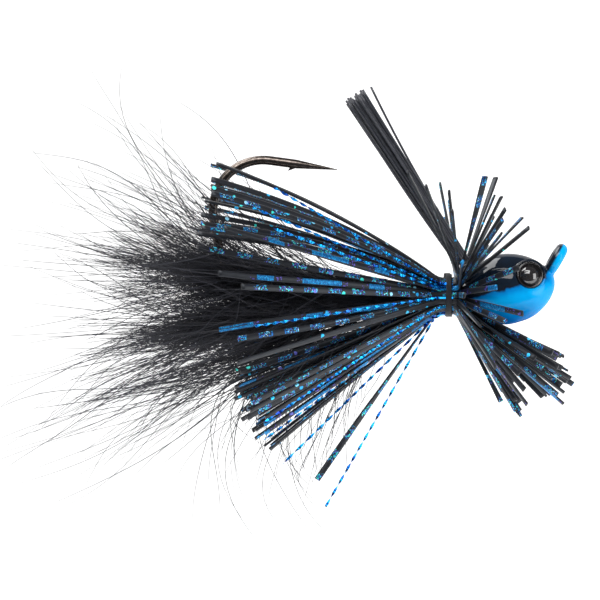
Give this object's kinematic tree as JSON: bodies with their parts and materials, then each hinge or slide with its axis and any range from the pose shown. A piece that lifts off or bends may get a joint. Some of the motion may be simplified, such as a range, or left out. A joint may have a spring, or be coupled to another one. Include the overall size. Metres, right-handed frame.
{
  "type": "skirted jig head",
  "caption": "Weighted fishing jig head on a 60 degree hook, with a brush weed guard, moulded eyes, a tied silicone skirt and a hair tail.",
  "frame": {"origin": "middle of the line tie's hole", "axes": "+X from the tail to the nose along the hook's shank, +Z to the side of the hook's point, Y across the head"},
  "size_m": [0.0627, 0.0443, 0.05],
  "materials": {
    "head_paint": "two-tone powder paint under gloss clear coat",
    "hook_wire": "black nickel",
    "eye_resin": "gloss",
    "eye_foil": "dark metallic print",
    "guard_nylon": "satin",
    "guard_bond": "fused fibre ends",
    "silicone_plain": "charcoal",
    "silicone_scale": "charcoal with blue glitter scale patches",
    "silicone_foil": "charcoal with blue foil bars",
    "tinsel": "metallic blue",
    "thread": "waxed black",
    "hair": "natural, dyed black"
  },
  "bodies": {
    "jig": {"eye_dome_far": "eye_resin", "eye_dome_near": "eye_resin", "eye_foil_far": "eye_foil", "eye_foil_near": "eye_foil", "flash_far": "tinsel", "flash_near": "tinsel", "guard_butt": "guard_bond", "head_casting": "head_paint", "hook": "hook_wire", "skirt_binding": "thread", "strands_foil_inner": "silicone_foil", "strands_foil_middle": "silicone_foil", "strands_foil_outer": "silicone_foil", "strands_plain_inner": "silicone_plain", "strands_plain_middle": "silicone_plain", "strands_plain_outer": "silicone_plain", "strands_scale_inner": "silicone_scale", "strands_scale_middle": "silicone_scale", "strands_scale_outer": "silicone_scale", "tail_binding": "thread", "tail_plume_bottom": "hair", "tail_plume_lower_far": "hair", "tail_plume_lower_near": "hair", "tail_plume_upper_far": "hair", "tail_plume_upper_near": "hair"},
    "guard": {"guard_fibres": "guard_nylon"}
  },
  "joints": [
    {"name": "guard_flex", "type": "hinge", "parent": "jig", "child": "guard", "pos_m": [-0.01095, 0, -0.0007], "axis": [0, -1, 0], "range_deg": [0, 16], "stiffness_Nm_per_rad": 0.01}
  ]
}
